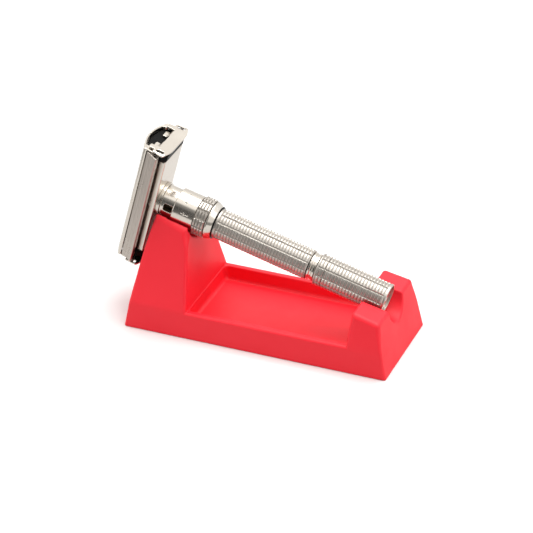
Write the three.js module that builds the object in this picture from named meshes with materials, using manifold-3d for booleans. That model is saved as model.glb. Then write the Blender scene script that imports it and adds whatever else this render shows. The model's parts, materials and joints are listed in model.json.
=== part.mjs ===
// A moulded razor stand with an adjustable twist-to-open razor lying in it.
// Millimetres, +Z up. The origin is the centre of the stand's underside, +X runs towards the
// knob end of the razor, and the object is the same on both sides of the XZ plane.
import * as THREE from 'three';
import { ConvexGeometry } from 'three/addons/geometries/ConvexGeometry.js';
import { mergeVertices } from 'three/addons/utils/BufferGeometryUtils.js';
import Module from 'manifold-3d';

const wasm = await Module();
wasm.setup();

// ---------------------------------------------------------------- driving dimensions
// Stand: a drafted tray with a tall post at -X and a low post at +X.
const BASE = { length: 94.3, width: 37.1, height: 9.6, endInset: 1.94, sideInset: 0.76 };
const TRAY = { left: -24.1, right: 33.5, halfWidth: 15.6, floor: 4.3, draft: 0.4 };
// A post's faces lean in above the base, and its top slopes along x through one known point.
const TALL_POST = {
  left: -45.2, right: -25.1, leftLean: 0.182, rightLean: -0.091, sideDraft: 0.357,
  topPoint: { x: -45.2, z: 41.75 }, topSlope: -0.306,
};
const LOW_POST = {
  left: 32.9, right: 45.2, leftLean: 0.097, rightLean: -0.148, sideDraft: 0.23,
  topPoint: { x: 45.2, z: 18.67 }, topSlope: -0.231,
};
const POST_ROOT = 3;              // height at which the posts start, inside the tray's floor
const HEAD_ROOM = {               // what is cut from the tall post's top corner, in the razor's axes
  left: -18, right: 12, halfWidth: 20, from: 82.2, to: 91,
};
const GROOVE_LIFT = 0.3;          // how far the groove centres lie above the razor's axis
const GROOVES = [                 // stations along the razor's axis, and radius
  { from: -12, to: 12, radius: 6.3 },
  { from: 60, to: 70.3, radius: 7.8 },
  { from: 70, to: 78.3, radius: 6.95 },
  { from: 78, to: 92, radius: 6.7 },
];

// Razor: its own axes are x along the blade, y across it, z from the knob's end to the head.
const TILT = 15.48 * Math.PI / 180;
const KNOB_END = new THREE.Vector3(40.99, 0, 19.225);
const GAP = 0.3;                  // clearance kept between neighbouring pieces
const FACETS = 40;

const KNOB = { top: 25.3, radius: 5.45, grooveAt: 22.4, grooveRadius: 5.05, ribs: 12 };
const KNOB_CAP = { from: 0.6, to: 2.2, radius: 4.5 };
const FERRULE = { from: 25.6, to: 28.0, radius: 4.75 };
const HANDLE = { from: 28.3, to: 62.1, radius: 5.2, bore: 3.1, socketFrom: 52, socketBore: 4.1 };
const SPACER = { from: 62.4, to: 63.1, radius: 5.73 };
const DIAL_RING = { from: 63.4, to: 65.2, lowRadius: 5.75, topRadius: 6.6 };
const DIAL_COLLAR = { from: 65.5, to: 69.5, radius: 6.9, ribs: 16 };
const DIAL_SLEEVE = { from: 69.8, to: 77.5, radius: 6.3 };
const DIAL_BORE = 5.1;
const NECK = { from: 52.4, shoulder: 77.9, to: 82.2, stemRadius: 3.8, radius: 5.45, bore: 3.2 };
const WINDOW = { from: 78.6, to: 81.2, width: 3.2, angle: 169 };   // degrees from +y towards +x
const FLANGE = { from: 82.5, to: 83.1, radius: 5.95 };

const CHANNEL = { bottom: 83.4, top: 86.6, halfWidth: 7.2, halfLength: 16, wall: 0.6 };
const END_BLOCK = { inner: 16.4, outer: 21.2, halfWidth: 8, bottom: 83.3, top: 92.3 };
const END_PLATE = { inner: 22.6, outer: 23.2, bottom: 82.5, top: 87.1, halfWidth: 10.2 };
const BAR = { halfLength: 21.5, top: 89.9, topReach: 9.15, lip: 86.1, lipReach: 11.2, wall: 0.7 };
const BRIDGE = { from: 87.6, to: 88.2, halfWidth: 8.95 };
const PLATFORM = { from: 88.6, halfWidth: 8, edge: 89.5, crown: 90.9, slot: 1.7 };
const DOOR = { crown: 93.5, edge: 90.5, reach: 9.15, radius: 17.2, wall: 0.7 };
const DOOR_EAR = { inner: 21.8, outer: 22.3, innerEdge: 6.4, outerEdge: 9.4 };
const DOOR_HINGE = { station: 85.6, offset: 8.8, pin: 0.42 };
const ROD = { from: 5.5, to: 91.0, radius: 1.5 };
const LIFTER = { from: 91.3, to: 92.2, halfWidth: 1.2, halfLength: 12.4 };
const NUT = { from: 3.0, to: 24.2, radius: 2.9, bore: 1.9 };
const PLUNGER = { from: 70.5, to: 87.3, radius: 2.9, bore: 2.1, pinAt: 73, pinRadius: 0.5, pinReach: 4.7 };
const SPRING = { from: 33, to: 49, coil: 2.4, wire: 0.32, turns: 5 };
const CLICK_RING = { at: 67.5, radius: 4.45, wire: 0.3, gapAngle: 50 };

// ---------------------------------------------------------------- finishes
const finish = (color, roughness, metalness) =>
  new THREE.MeshStandardMaterial({ color, roughness, metalness });
const RED = finish(0xe8303a, 0.55, 0);
const NICKEL = finish(0xcfc8bd, 0.2, 1);
const BRUSHED = finish(0xb9b2a6, 0.35, 1);
const BLACK = finish(0x141414, 0.35, 0);
const BRASS = finish(0xb89b5e, 0.35, 1);
const STEEL = finish(0x9a9a98, 0.4, 1);

// ---------------------------------------------------------------- solids
function toSolid(geometry) {
  const bare = geometry.clone();
  bare.deleteAttribute('normal');
  bare.deleteAttribute('uv');
  const merged = mergeVertices(bare, 1e-4);
  return new wasm.Manifold(new wasm.Mesh({
    numProp: 3,
    vertProperties: new Float32Array(merged.attributes.position.array),
    triVerts: new Uint32Array(merged.index.array),
  }));
}

function toGeometry(solid) {
  const mesh = solid.getMesh();
  const geometry = new THREE.BufferGeometry();
  geometry.setAttribute('position', new THREE.BufferAttribute(mesh.vertProperties, 3));
  geometry.setIndex(new THREE.BufferAttribute(mesh.triVerts, 1));
  geometry.computeVertexNormals();
  return geometry;
}

const cut = (base, ...tools) =>
  toGeometry(tools.reduce((solid, tool) => solid.subtract(toSolid(tool)), toSolid(base)));
const join = (base, ...others) =>
  toGeometry(others.reduce((solid, other) => solid.add(toSolid(other)), toSolid(base)));

function node(name, geometry, material) {
  const mesh = new THREE.Mesh(geometry, material);
  mesh.name = name;
  return mesh;
}

function box(x0, x1, y0, y1, z0, z1) {
  const geometry = new THREE.BoxGeometry(x1 - x0, y1 - y0, z1 - z0);
  return geometry.translate((x0 + x1) / 2, (y0 + y1) / 2, (z0 + z1) / 2);
}

// A round solid about the razor's axis, from a list of [radius, station] corners.
function turned(corners, facets = FACETS) {
  const closed = [...corners, corners[0]].map(([r, z]) => new THREE.Vector2(r, z));
  return new THREE.LatheGeometry(closed, facets).rotateX(Math.PI / 2);
}

const tube = (outer, bore, from, to, facets) =>
  turned([[bore, from], [outer, from], [outer, to], [bore, to]], facets);

function rod(radius, from, to, facets = FACETS) {
  const geometry = new THREE.CylinderGeometry(radius, radius, to - from, facets);
  return geometry.rotateX(Math.PI / 2).translate(0, 0, (from + to) / 2);
}

// A tube whose outside has shallow lengthwise grooves between its ribs.
function ribbedTube(radius, bore, from, to, ribs, depth) {
  const outline = new THREE.Shape();
  for (let i = 0; i < ribs; i += 1) {
    for (const [part, r] of [[0.08, radius], [0.36, radius], [0.64, radius], [0.92, radius - depth]]) {
      const angle = (i + part) * 2 * Math.PI / ribs;
      const point = [r * Math.cos(angle), r * Math.sin(angle)];
      if (i === 0 && part === 0.08) outline.moveTo(...point);
      else outline.lineTo(...point);
    }
  }
  outline.closePath();
  const hole = new THREE.Path();
  hole.absarc(0, 0, bore, 0, 2 * Math.PI, true);
  outline.holes.push(hole);
  const geometry = new THREE.ExtrudeGeometry(outline, {
    depth: to - from, bevelEnabled: false, curveSegments: 16,
  });
  return geometry.translate(0, 0, from);
}

// A profile drawn across the razor, [y, z] corners, and extruded along x.
function sideways(corners, x0, x1) {
  const outline = new THREE.Shape(corners.map(([y, z]) => new THREE.Vector2(y, z)));
  const geometry = new THREE.ExtrudeGeometry(outline, { depth: x1 - x0, bevelEnabled: false });
  // Shape x, y and depth become y, z and x.
  geometry.applyMatrix4(new THREE.Matrix4().set(0, 0, 1, x0, 1, 0, 0, 0, 0, 1, 0, 0, 0, 0, 0, 1));
  return geometry;
}

const mirroredY = (corners) => corners.map(([y, z]) => [-y, z]).reverse();

// ---------------------------------------------------------------- stand
// The eight corners of a drafted block between two heights.
function frustum(lowX0, lowX1, lowY, lowZ, highX0, highX1, highY, highZ) {
  const corners = [];
  for (const side of [-1, 1]) {
    corners.push(new THREE.Vector3(lowX0, side * lowY, lowZ));
    corners.push(new THREE.Vector3(lowX1, side * lowY, lowZ));
    corners.push(new THREE.Vector3(highX0, side * highY, highZ));
    corners.push(new THREE.Vector3(highX1, side * highY, highZ));
  }
  return new ConvexGeometry(corners);
}

function post(shape) {
  const halfWidth = BASE.width / 2 - BASE.sideInset;
  const corners = [];
  for (const [foot, lean] of [[shape.left, shape.leftLean], [shape.right, shape.rightLean]]) {
    const topOverFoot = shape.topPoint.z + shape.topSlope * (foot - shape.topPoint.x);
    const rise = (topOverFoot - BASE.height) / (1 - shape.topSlope * lean);
    for (const side of [-1, 1]) {
      corners.push(new THREE.Vector3(foot, side * halfWidth, POST_ROOT));
      corners.push(new THREE.Vector3(foot, side * halfWidth, BASE.height));
      const topY = side * (halfWidth - shape.sideDraft * rise);
      corners.push(new THREE.Vector3(foot + lean * rise, topY, BASE.height + rise));
    }
  }
  return new ConvexGeometry(corners);
}

function standBody() {
  const halfLength = BASE.length / 2;
  const halfWidth = BASE.width / 2;
  const block = frustum(
    -halfLength, halfLength, halfWidth, 0,
    -halfLength + BASE.endInset, halfLength - BASE.endInset, halfWidth - BASE.sideInset, BASE.height,
  );
  const tray = frustum(
    TRAY.left + TRAY.draft, TRAY.right - TRAY.draft, TRAY.halfWidth - TRAY.draft, TRAY.floor,
    TRAY.left, TRAY.right, TRAY.halfWidth, BASE.height + 1,
  );
  const shell = join(cut(block, tray), post(TALL_POST), post(LOW_POST));
  const grooves = GROOVES.map(({ from, to, radius }) =>
    inRazorPlace(rod(radius, from, to).translate(GROOVE_LIFT, 0, 0)));
  const { left, right, halfWidth: roomHalf, from, to } = HEAD_ROOM;
  const headRoom = inRazorPlace(box(left, right, -roomHalf, roomHalf, from, to));
  return node('stand_body', cut(shell, ...grooves, headRoom), RED);
}

function razorMatrix() {
  const turn = new THREE.Matrix4().makeRotationY(-(Math.PI / 2 - TILT));
  return new THREE.Matrix4().makeTranslation(KNOB_END).multiply(turn);
}

function inRazorPlace(geometry) {
  return geometry.applyMatrix4(razorMatrix());
}

// ---------------------------------------------------------------- knob, handle and rod
function knobPieces() {
  const bore = NUT.radius + GAP;
  const recess = KNOB_CAP.radius + 0.35;
  const endRing = turned([
    [recess, 0], [KNOB.radius - 0.2, 0], [KNOB.radius, 0.2], [KNOB.radius, 1.5], [recess, 1.5],
  ]);
  const grip = ribbedTube(KNOB.radius, bore, 1.2, KNOB.grooveAt, KNOB.ribs, 0.25);
  const top = tube(KNOB.radius - 0.05, bore, KNOB.grooveAt + 0.4, KNOB.top);
  const waist = tube(KNOB.grooveRadius, bore, KNOB.grooveAt - 0.2, KNOB.grooveAt + 0.6);
  const recessTool = rod(recess, -1, KNOB_CAP.to + 0.4);
  return [
    node('knob_sleeve', cut(join(endRing, grip, waist, top), recessTool), NICKEL),
    node('knob_end_cap', rod(KNOB_CAP.radius, KNOB_CAP.from, KNOB_CAP.to), NICKEL),
    node('knob_drive_nut', tube(NUT.radius, NUT.bore, NUT.from, NUT.to, 24), BRASS),
  ];
}

function coilSpring() {
  const points = [];
  const steps = SPRING.turns * 10;
  for (let i = 0; i <= steps; i += 1) {
    const angle = i / 10 * 2 * Math.PI;
    const station = SPRING.from + (SPRING.to - SPRING.from) * i / steps;
    points.push(new THREE.Vector3(SPRING.coil * Math.cos(angle), SPRING.coil * Math.sin(angle), station));
  }
  return wire(new THREE.CatmullRomCurve3(points), SPRING.wire, steps);
}

// A closed round wire of a given radius along a curve.
function wire(path, radius, steps) {
  const section = new THREE.Shape();
  for (let i = 0; i < 6; i += 1) {
    const angle = i * Math.PI / 3;
    const point = [radius * Math.cos(angle), radius * Math.sin(angle)];
    if (i === 0) section.moveTo(...point);
    else section.lineTo(...point);
  }
  section.closePath();
  return new THREE.ExtrudeGeometry(section, { steps, extrudePath: path, bevelEnabled: false });
}

function clickRing() {
  const points = [];
  const start = CLICK_RING.gapAngle / 2;
  for (let i = 0; i <= 20; i += 1) {
    const angle = (start + (360 - 2 * start) * i / 20) * Math.PI / 180;
    const x = CLICK_RING.radius * Math.cos(angle);
    const y = CLICK_RING.radius * Math.sin(angle);
    points.push(new THREE.Vector3(x, y, CLICK_RING.at));
  }
  return wire(new THREE.CatmullRomCurve3(points), CLICK_RING.wire, 20);
}

function handleBarrel() {
  const grip = ribbedTube(HANDLE.radius, HANDLE.bore, HANDLE.from, HANDLE.to, KNOB.ribs, 0.25);
  return cut(grip, rod(HANDLE.socketBore, HANDLE.socketFrom, HANDLE.to + 1));
}

function neckTube() {
  const body = turned([
    [NECK.bore, NECK.from], [NECK.stemRadius, NECK.from], [NECK.stemRadius, NECK.shoulder],
    [NECK.radius, NECK.shoulder], [NECK.radius, NECK.to], [NECK.bore, NECK.to],
  ]);
  const half = WINDOW.width / 2;
  const window = box(-half, half, -7, -2.6, WINDOW.from, WINDOW.to);
  window.rotateZ((180 - WINDOW.angle) * Math.PI / 180);
  const pinSlot = box(-0.9, 0.9, 2.6, 6, PLUNGER.pinAt - 1.5, PLUNGER.pinAt + 1.2);
  return cut(body, window, pinSlot);
}

function handlePieces() {
  return [
    node('handle_ferrule', tube(FERRULE.radius, 2.2, FERRULE.from, FERRULE.to), NICKEL),
    node('handle_barrel', handleBarrel(), NICKEL),
    node('spacer_ring', tube(SPACER.radius, 4.3, SPACER.from, SPACER.to), BLACK),
    node('neck_tube', neckTube(), NICKEL),
    node('neck_flange', tube(FLANGE.radius, NECK.bore + 0.1, FLANGE.from, FLANGE.to), NICKEL),
    node('tension_spring', coilSpring(), STEEL),
    node('click_ring', clickRing(), STEEL),
  ];
}

function rodPieces() {
  const { from, to, halfWidth, halfLength } = LIFTER;
  return [
    node('centre_rod', rod(ROD.radius, ROD.from, ROD.to, 24), STEEL),
    node('door_lifter', box(-halfLength, halfLength, -halfWidth, halfWidth, from, to), NICKEL),
  ];
}

// ---------------------------------------------------------------- adjusting dial and guard
function dialPieces() {
  const ring = turned([
    [4.3, DIAL_RING.from], [DIAL_RING.lowRadius, DIAL_RING.from],
    [DIAL_RING.topRadius, DIAL_RING.to], [4.3, DIAL_RING.to],
  ]);
  const { from, to, radius, ribs } = DIAL_COLLAR;
  return [
    node('dial_ring', ring, NICKEL),
    node('dial_collar', ribbedTube(radius, DIAL_BORE, from, to, ribs, 0.3), NICKEL),
    node('dial_sleeve', tube(DIAL_SLEEVE.radius, DIAL_BORE, DIAL_SLEEVE.from, DIAL_SLEEVE.to), NICKEL),
  ];
}

function guardPlunger() {
  const body = tube(PLUNGER.radius, PLUNGER.bore, PLUNGER.from, PLUNGER.to, 24);
  const length = PLUNGER.pinReach - PLUNGER.bore - 0.2;
  const pin = new THREE.CylinderGeometry(PLUNGER.pinRadius, PLUNGER.pinRadius, length, 12);
  pin.translate(0, PLUNGER.pinReach - length / 2, PLUNGER.pinAt);
  return join(body, pin);
}

function guardPieces() {
  const { halfLength, top, topReach, lip, lipReach, wall } = BAR;
  const profile = [
    [topReach - wall + 0.08, top], [topReach - wall + 0.08, top - 0.45], [lipReach - 0.85, lip],
    [lipReach - 1.9, lip], [lipReach - 1.9, lip - 0.6], [lipReach - 0.1, lip - 0.6],
    [lipReach, lip], [topReach, top],
  ];
  const { halfWidth } = BRIDGE;
  const plate = box(-CHANNEL.halfLength, CHANNEL.halfLength, -halfWidth, halfWidth, BRIDGE.from, BRIDGE.to);
  return [
    node('guard_bar_near', sideways(mirroredY(profile), -halfLength, halfLength), BRUSHED),
    node('guard_bar_far', sideways(profile, -halfLength, halfLength), BRUSHED),
    node('guard_bridge', cut(plate, rod(ROD.radius + 0.5, BRIDGE.from - 1, BRIDGE.to + 1)), NICKEL),
    node('guard_plunger', guardPlunger(), BRASS),
  ];
}

// ---------------------------------------------------------------- head
function baseChannel() {
  const { bottom, top, halfWidth, halfLength, wall } = CHANNEL;
  const profile = [
    [-halfWidth, bottom], [halfWidth, bottom], [halfWidth, top], [halfWidth - wall, top],
    [halfWidth - wall, bottom + wall], [wall - halfWidth, bottom + wall],
    [wall - halfWidth, top], [-halfWidth, top],
  ];
  return cut(sideways(profile, -halfLength, halfLength), rod(NECK.bore + 0.1, bottom - 1, bottom + 2));
}

// Points on an arc that crosses the head, centred under its crown.
function crownArc(radius, fromY, toY, steps) {
  const centre = DOOR.crown - DOOR.radius;
  return Array.from({ length: steps + 1 }, (_, i) => {
    const y = fromY + (toY - fromY) * i / steps;
    return [y, centre + Math.sqrt(radius * radius - y * y)];
  });
}

function endBlock(x0, x1) {
  const { halfWidth, bottom, top } = END_BLOCK;
  const arcRadius = DOOR.radius - (DOOR.crown - top);
  const arc = crownArc(arcRadius, halfWidth, -halfWidth, 12);
  const profile = [
    [-halfWidth, bottom + 1.7], [1.5 - halfWidth, bottom], [halfWidth - 1.5, bottom],
    [halfWidth, bottom + 1.7], ...arc,
  ];
  return sideways(profile, x0, x1);
}

function endPlate(x0, x1) {
  const { bottom, top, halfWidth } = END_PLATE;
  const plate = sideways([
    [4 - halfWidth, bottom], [halfWidth - 4, bottom], [halfWidth, bottom + 1.4],
    [halfWidth, top - 0.9], [halfWidth - 0.8, top], [0.8 - halfWidth, top],
    [-halfWidth, top - 0.9], [-halfWidth, bottom + 1.4],
  ], x0, x1);
  const lugs = [-1, 1].map((side) => box(x0, x1, side * 4.1 - 1.1, side * 4.1 + 1.1, top - 0.3, top + 2.3));
  const { station, offset } = DOOR_HINGE;
  const slots = [-1, 1].map((side) =>
    box(x0 - 1, x1 + 1, side * offset - 0.75, side * offset + 0.75, station - 1.2, station + 1.2));
  return cut(join(plate, ...lugs), ...slots);
}

function bladePlatform() {
  const { from, halfWidth, edge, crown, slot } = PLATFORM;
  const arcRadius = (halfWidth ** 2 + (crown - edge) ** 2) / (2 * (crown - edge));
  const arc = Array.from({ length: 13 }, (_, i) => {
    const y = halfWidth - 2 * halfWidth * i / 12;
    return [y, crown - arcRadius + Math.sqrt(arcRadius ** 2 - y * y)];
  });
  const body = sideways([[-halfWidth, from], [halfWidth, from], ...arc], -CHANNEL.halfLength, CHANNEL.halfLength);
  const pegs = [-1, 1].map((side) => rod(0.8, crown - 1, crown + 0.6, 16).translate(side * 14.3, 0, 0));
  const opening = box(-12.5, 12.5, -slot, slot, from - 1, crown + 1);
  return join(cut(body, opening), ...pegs);
}

function headPieces() {
  const ends = { lower: -1, upper: 1 };
  const pieces = [
    node('base_channel', baseChannel(), NICKEL),
    node('blade_platform', bladePlatform(), NICKEL),
  ];
  for (const [name, side] of Object.entries(ends)) {
    const span = (a, b) => (side > 0 ? [a, b] : [-b, -a]);
    pieces.push(node(`end_block_${name}`, endBlock(...span(END_BLOCK.inner, END_BLOCK.outer)), BLACK));
    pieces.push(node(`end_plate_${name}`, endPlate(...span(END_PLATE.inner, END_PLATE.outer)), NICKEL));
  }
  return pieces;
}

// One butterfly door: a curved shell, an ear at each end and a hinge pin in each end plate's slot.
function door(side) {
  const { edge, reach, radius, wall } = DOOR;
  const place = (corners) => (side > 0 ? corners : mirroredY(corners));
  const outside = crownArc(radius, reach, 0.25, 10);
  const inside = crownArc(radius - wall, 0.25, reach - 0.6, 10);
  const shell = sideways(place([[reach - 0.1, edge], ...outside, ...inside]), -DOOR_EAR.outer, DOOR_EAR.outer);
  const { station, offset, pin } = DOOR_HINGE;
  const earOutline = place([
    [DOOR_EAR.innerEdge, 91.3], [7.2, 88], [7.9, station], [offset, station - 0.8],
    [DOOR_EAR.outerEdge + 0.2, station], [DOOR_EAR.outerEdge, 87.5], [reach - 0.1, edge + 0.2],
  ]);
  const extras = [];
  for (const end of [-1, 1]) {
    const [x0, x1] = end > 0 ? [DOOR_EAR.inner, DOOR_EAR.outer] : [-DOOR_EAR.outer, -DOOR_EAR.inner];
    extras.push(sideways(earOutline, x0, x1));
    const stub = new THREE.CylinderGeometry(pin, pin, 1.1, 12).rotateZ(Math.PI / 2);
    extras.push(stub.translate(end * (DOOR_EAR.outer + 0.3), side * offset, station));
  }
  return join(shell, ...extras);
}

// ---------------------------------------------------------------- assembly
const razor = new THREE.Group();
razor.add(...knobPieces(), ...handlePieces(), ...rodPieces());
razor.add(...dialPieces(), ...guardPieces(), ...headPieces());
razor.add(node('door_near', door(-1), NICKEL), node('door_far', door(1), NICKEL));
razor.applyMatrix4(razorMatrix());

const object = new THREE.Group();
object.add(standBody(), razor);

export default object;
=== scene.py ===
"""Looks of a moulded razor stand with an adjustable twist-to-open razor lying in it.

The stand, the neck and the head's pieces are distance fields turned into closed skins, so every edge has
its own fillet. The other round pieces are turned outlines, and the ribs of the grips and the coil spring
are geometry node trees. Four inner pieces keep their CAD shape and get a finish. Shapes of the razor are
in its own axes, in millimetres: u along the blade, v across it, and s from the knob's end to the head.
"""
import json
import math

import bpy
import numpy as np
from mathutils import Matrix, Vector


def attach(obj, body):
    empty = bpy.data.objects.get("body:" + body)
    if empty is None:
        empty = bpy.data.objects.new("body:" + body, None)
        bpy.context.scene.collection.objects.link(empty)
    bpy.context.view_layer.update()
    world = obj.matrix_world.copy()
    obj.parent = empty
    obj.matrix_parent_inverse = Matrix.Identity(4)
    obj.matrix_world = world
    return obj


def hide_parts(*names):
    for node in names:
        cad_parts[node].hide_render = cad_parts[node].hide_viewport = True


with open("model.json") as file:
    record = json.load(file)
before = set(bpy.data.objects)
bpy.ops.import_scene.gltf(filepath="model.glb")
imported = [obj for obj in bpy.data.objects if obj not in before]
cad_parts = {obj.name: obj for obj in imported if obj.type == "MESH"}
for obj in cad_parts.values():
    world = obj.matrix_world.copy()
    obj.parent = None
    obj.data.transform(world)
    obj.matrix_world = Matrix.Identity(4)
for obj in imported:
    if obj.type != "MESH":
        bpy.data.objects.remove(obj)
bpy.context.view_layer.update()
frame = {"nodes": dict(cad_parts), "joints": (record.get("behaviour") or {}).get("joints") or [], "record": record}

MM = 0.001
NODES = frame["nodes"]
JOINTS = {joint["name"]: joint for joint in frame["joints"]}
BODY_OF = {n: body for body, names in frame["record"]["behaviour"]["bodies"].items() for n in names}
SLOT_OF = {"stand_body": "red_plastic", "spacer_ring": "black_plastic", "knob_drive_nut": "brass",
           "guard_plunger": "brass", "centre_rod": "steel", "tension_spring": "steel",
           "click_ring": "steel", "guard_bar_near": "brushed_nickel", "guard_bar_far": "brushed_nickel",
           "end_block_lower": "black_plastic", "end_block_upper": "black_plastic"}


# ---------------------------------------------------------------- places
def vertices(name):
    mesh = NODES[name].data
    found = np.empty(len(mesh.vertices) * 3)
    mesh.vertices.foreach_get("co", found)
    return found.reshape(-1, 3)


AXIS = np.array(JOINTS["knob_turn"]["axis"], float)
AXIS /= np.linalg.norm(AXIS)
BLADE = np.array(JOINTS["razor_lift"]["axis"], float)
BLADE /= np.linalg.norm(BLADE)
ACROSS = np.cross(AXIS, BLADE)
ON_AXIS = np.array(JOINTS["knob_turn"]["pos_m"], float)
ORIGIN = ON_AXIS + AXIS * ((vertices("knob_sleeve") - ON_AXIS) @ AXIS).min()
TURN = np.stack([BLADE, ACROSS, AXIS], axis=1)


def extent(name):
    """Lowest and highest (u, v, s) of a CAD node, in millimetres."""
    local = (vertices(name) - ORIGIN) @ TURN / MM
    return local.min(0), local.max(0)


def length_and_radius(name):
    low, high = extent(name)
    return low[2], high[2], max(high[0], high[1])


# ---------------------------------------------------------------- pieces
def finished(node, points, faces, finish, razor=True, normals=None, marks=None, crease=None):
    """The piece that stands for a CAD node, from points in millimetres in the razor's axes or the frame's."""
    name = node + "_finished"
    place = np.asarray(points, float)
    if razor:
        place = place * MM @ TURN.T + ORIGIN
        if normals is not None:
            normals = normals @ TURN.T
    else:
        place = place * MM
    mesh = bpy.data.meshes.new(name)
    mesh.from_pydata(place.tolist(), [], [tuple(f) for f in faces])
    mesh.polygons.foreach_set("use_smooth", [True] * len(mesh.polygons))
    for mark, values in (marks or {}).items():
        mesh.attributes.new(mark, "FLOAT", "POINT").data.foreach_set("value", np.float32(values))
    mesh.materials.append(finish)
    mesh.update()
    if crease is not None:
        mesh.set_sharp_from_angle(angle=math.radians(crease))
    if normals is not None:
        mesh.normals_split_custom_set_from_vertices(normals.tolist())
    piece = bpy.data.objects.new(name, mesh)
    bpy.context.scene.collection.objects.link(piece)
    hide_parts(node)
    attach(piece, BODY_OF[node])
    return piece


# ---------------------------------------------------------------- distance fields
def both(a, b, r=0.0):
    """What is inside both shapes, with the edge between them rounded to radius r, a number or a field."""
    if np.isscalar(r) and r <= 0:
        return np.maximum(a, b)
    return np.minimum(np.maximum(a, b), -r) + np.hypot(np.maximum(a + r, 0), np.maximum(b + r, 0))


def either(a, b, r=0.0):
    return -both(-a, -b, r)


def without(a, b, r=0.0):
    return both(a, -b, r)


def between(x, low, high):
    return np.maximum(low - x, x - high)


def block(x, y, z, low, high, r):
    flat = both(between(x, low[0], high[0]), between(y, low[1], high[1]), r)
    return both(flat, between(z, low[2], high[2]), r)


def leaning(x, z, at_x, at_z, lean, outward):
    """Distance past a face that stands at at_x at height at_z and leans in by lean per millimetre."""
    return (outward * (x - at_x) + lean * (z - at_z)) / math.hypot(1, lean)


def eased(value):
    """Zero below 0, one above 1, and a smooth climb between them."""
    share = np.clip(value, 0, 1)
    return share * share * (3 - 2 * share)


def blended(a, b, width):
    """The larger of two fields, with a soft change from one to the other."""
    share = np.maximum(width - np.abs(a - b), 0) / width
    return np.maximum(a, b) + share * share * width * 0.25


def crossings(value, axis):
    """Grid edges that the skin crosses: their starts, how far along it lies, and if they start inside."""
    inside = value < 0
    near = [slice(None)] * 3
    far = [slice(None)] * 3
    near[axis], far[axis] = slice(0, -1), slice(1, None)
    near, far = tuple(near), tuple(far)
    index = np.argwhere(inside[near] != inside[far])
    a = value[near][tuple(index.T)]
    b = value[far][tuple(index.T)]
    return index, a / (a - b), a < 0


def skin(field, low, high, step):
    """Closed skin of field = 0 inside a box: its points, its four-sided faces and its normals."""
    low, high = np.asarray(low, float), np.asarray(high, float)
    counts = np.ceil((high - low) / step).astype(int) + 5
    start = (low + high) / 2 - (counts - 1) * step / 2
    grid = np.meshgrid(*[start[i] + step * np.arange(counts[i]) for i in range(3)], indexing="ij")
    value = field(*grid)
    cells = counts - 1
    total = np.zeros(cells.prod())
    sums = np.zeros((3, cells.prod()))
    rings = []
    for axis in range(3):
        index, share, outward = crossings(value, axis)
        spot = index.astype(float)
        spot[:, axis] += share
        b, c = (axis + 1) % 3, (axis + 2) % 3
        ring = []
        for back_b, back_c in ((1, 1), (0, 1), (0, 0), (1, 0)):
            cell = index.copy()
            cell[:, b] -= back_b
            cell[:, c] -= back_c
            flat = np.ravel_multi_index(tuple(cell.T), tuple(cells))
            ring.append(flat)
            total += np.bincount(flat, minlength=total.size)
            for i in range(3):
                sums[i] += np.bincount(flat, weights=spot[:, i], minlength=total.size)
        ring = np.stack(ring, axis=1)
        ring[~outward] = ring[~outward][:, ::-1]
        rings.append(ring)
    used = np.flatnonzero(total)
    number = np.full(total.size, -1)
    number[used] = np.arange(used.size)
    points = (sums[:, used] / total[used]).T * step + start

    def slope(p, reach):
        columns = []
        for i in range(3):
            ahead, behind = p.copy(), p.copy()
            ahead[:, i] += reach
            behind[:, i] -= reach
            columns.append((field(*ahead.T) - field(*behind.T)) / (2 * reach))
        return np.stack(columns, axis=1)

    # each point moves onto the surface, but stays within its own cell's reach
    home = points.copy()
    for _ in range(4):
        steep = slope(points, step * 0.05)
        size = np.maximum((steep ** 2).sum(1), 0.1)
        points = points - steep * (field(*points.T) / size)[:, None]
        points = home + np.clip(points - home, -0.7 * step, 0.7 * step)
    normals = slope(points, step * 0.08)
    normals /= np.maximum(np.linalg.norm(normals, axis=1, keepdims=True), 1e-9)
    return points, number[np.concatenate(rings)], normals


def carved(node, field, step, finish, margin=0.0, painted_shade=None):
    """A razor piece from its distance field, in the box of its CAD node widened by margin.

    Where the shade mask given to it is one at (u, v, s), the finish is painted dark as shade.
    """
    low, high = extent(node)
    points, faces, normals = skin(field, low - margin, high + margin, step)
    marks = {"recess": painted_shade(*points.T)} if painted_shade else None
    return finished(node, points, faces, finish, normals=normals, marks=marks)


# ---------------------------------------------------------------- turned outlines
FILLET_STEPS = 5


def filleted(corners):
    """A closed (radius, station) outline with each corner rounded to its own third number."""
    out = []
    count = len(corners)
    for i, (r, s, fillet) in enumerate(corners):
        here = np.array([r, s], float)
        before = np.array(corners[i - 1][:2], float) - here
        after = np.array(corners[(i + 1) % count][:2], float) - here
        before_length, after_length = np.linalg.norm(before), np.linalg.norm(after)
        before, after = before / before_length, after / after_length
        opening = math.acos(max(-1, min(1, float(before @ after))))
        if fillet <= 0 or opening > math.pi - 0.01:
            out.append(here)
            continue
        run = min(fillet / math.tan(opening / 2), 0.45 * before_length, 0.45 * after_length)
        for k in range(FILLET_STEPS + 1):
            t = k / FILLET_STEPS
            out.append(here + before * run * (1 - t) ** 2 + after * run * t ** 2)
    return np.array(out)


def divided(outline, step):
    """The outline with its long stretches cut into steps along the axis."""
    out = []
    for a, b in zip(outline, np.roll(outline, -1, axis=0)):
        parts = max(1, int(np.ceil(abs(b[1] - a[1]) / step)))
        out.extend(a + (b - a) * k / parts for k in range(parts))
    return np.array(out)


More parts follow.
